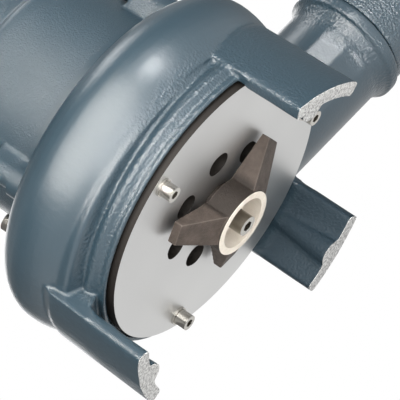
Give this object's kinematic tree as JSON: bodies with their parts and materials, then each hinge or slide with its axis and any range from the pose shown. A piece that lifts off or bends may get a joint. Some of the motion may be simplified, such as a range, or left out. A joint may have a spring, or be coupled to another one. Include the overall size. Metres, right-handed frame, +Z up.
{
  "type": "submersible sewage pump",
  "caption": "Upright submersible sewage pump with an outside winged cutting rotor, volute casing on cast legs, side outlet, motor housing and lifting handle.",
  "frame": {"origin": "on the ground, under the middle of the whole part's box; the shaft is 44.5 mm behind it along X", "axes": "+Z up along the shaft, +X the way the outlet points"},
  "size_m": [0.323, 0.22, 0.3465],
  "materials": {
    "casing_paint": "gloss blue-grey paint on cast iron",
    "motor_paint": "gloss blue-grey paint on rough cast iron",
    "plate_steel": "fine ground steel, satin",
    "rotor_steel": "brown investment-cast hard steel, ground on the hub face",
    "screw_steel": "bright stainless",
    "shaft_steel": "turned",
    "inner_iron": "bare casting",
    "seal_rubber": "matt",
    "winding_copper": "lacquered",
    "terminal_plastic": "matt",
    "gland_brass": "nickel plated"
  },
  "bodies": {
    "housing": {"volute_casing": "casing_paint", "cutting_plate": "plate_steel", "plate_gasket": "seal_rubber", "plate_screws": "screw_steel", "plate_washers": "screw_steel", "spring_washers": "screw_steel", "seal_seat": "shaft_steel", "lip_seal": "seal_rubber", "bearing_carrier": "inner_iron", "oil_plug": "screw_steel", "bearing_outer_rings": "shaft_steel", "stator_core": "inner_iron", "stator_windings": "winding_copper", "motor_housing": "motor_paint", "housing_screws": "screw_steel", "housing_oring": "seal_rubber", "bearing_shield": "inner_iron", "terminal_block": "terminal_plastic", "top_cover": "motor_paint", "cover_gasket": "seal_rubber", "cover_screws": "screw_steel", "cable_gland": "gland_brass", "gland_nut": "gland_brass", "gland_seal": "seal_rubber", "handle": "motor_paint", "handle_screws": "screw_steel", "outlet_body": "motor_paint", "outlet_seal": "seal_rubber"},
    "shaft_set": {"shaft": "shaft_steel", "cutting_rotor": "rotor_steel", "rotor_screw": "screw_steel", "impeller": "inner_iron", "drive_keys": "shaft_steel", "seal_head": "shaft_steel", "bearing_inner_rings": "shaft_steel", "bearing_balls": "shaft_steel", "motor_rotor": "inner_iron"}
  },
  "joints": [
    {"name": "shaft_spin", "type": "hinge", "parent": "housing", "child": "shaft_set", "pos_m": [-0.0445, 0, 0], "axis": [0, 0, 1], "continuous": true}
  ]
}
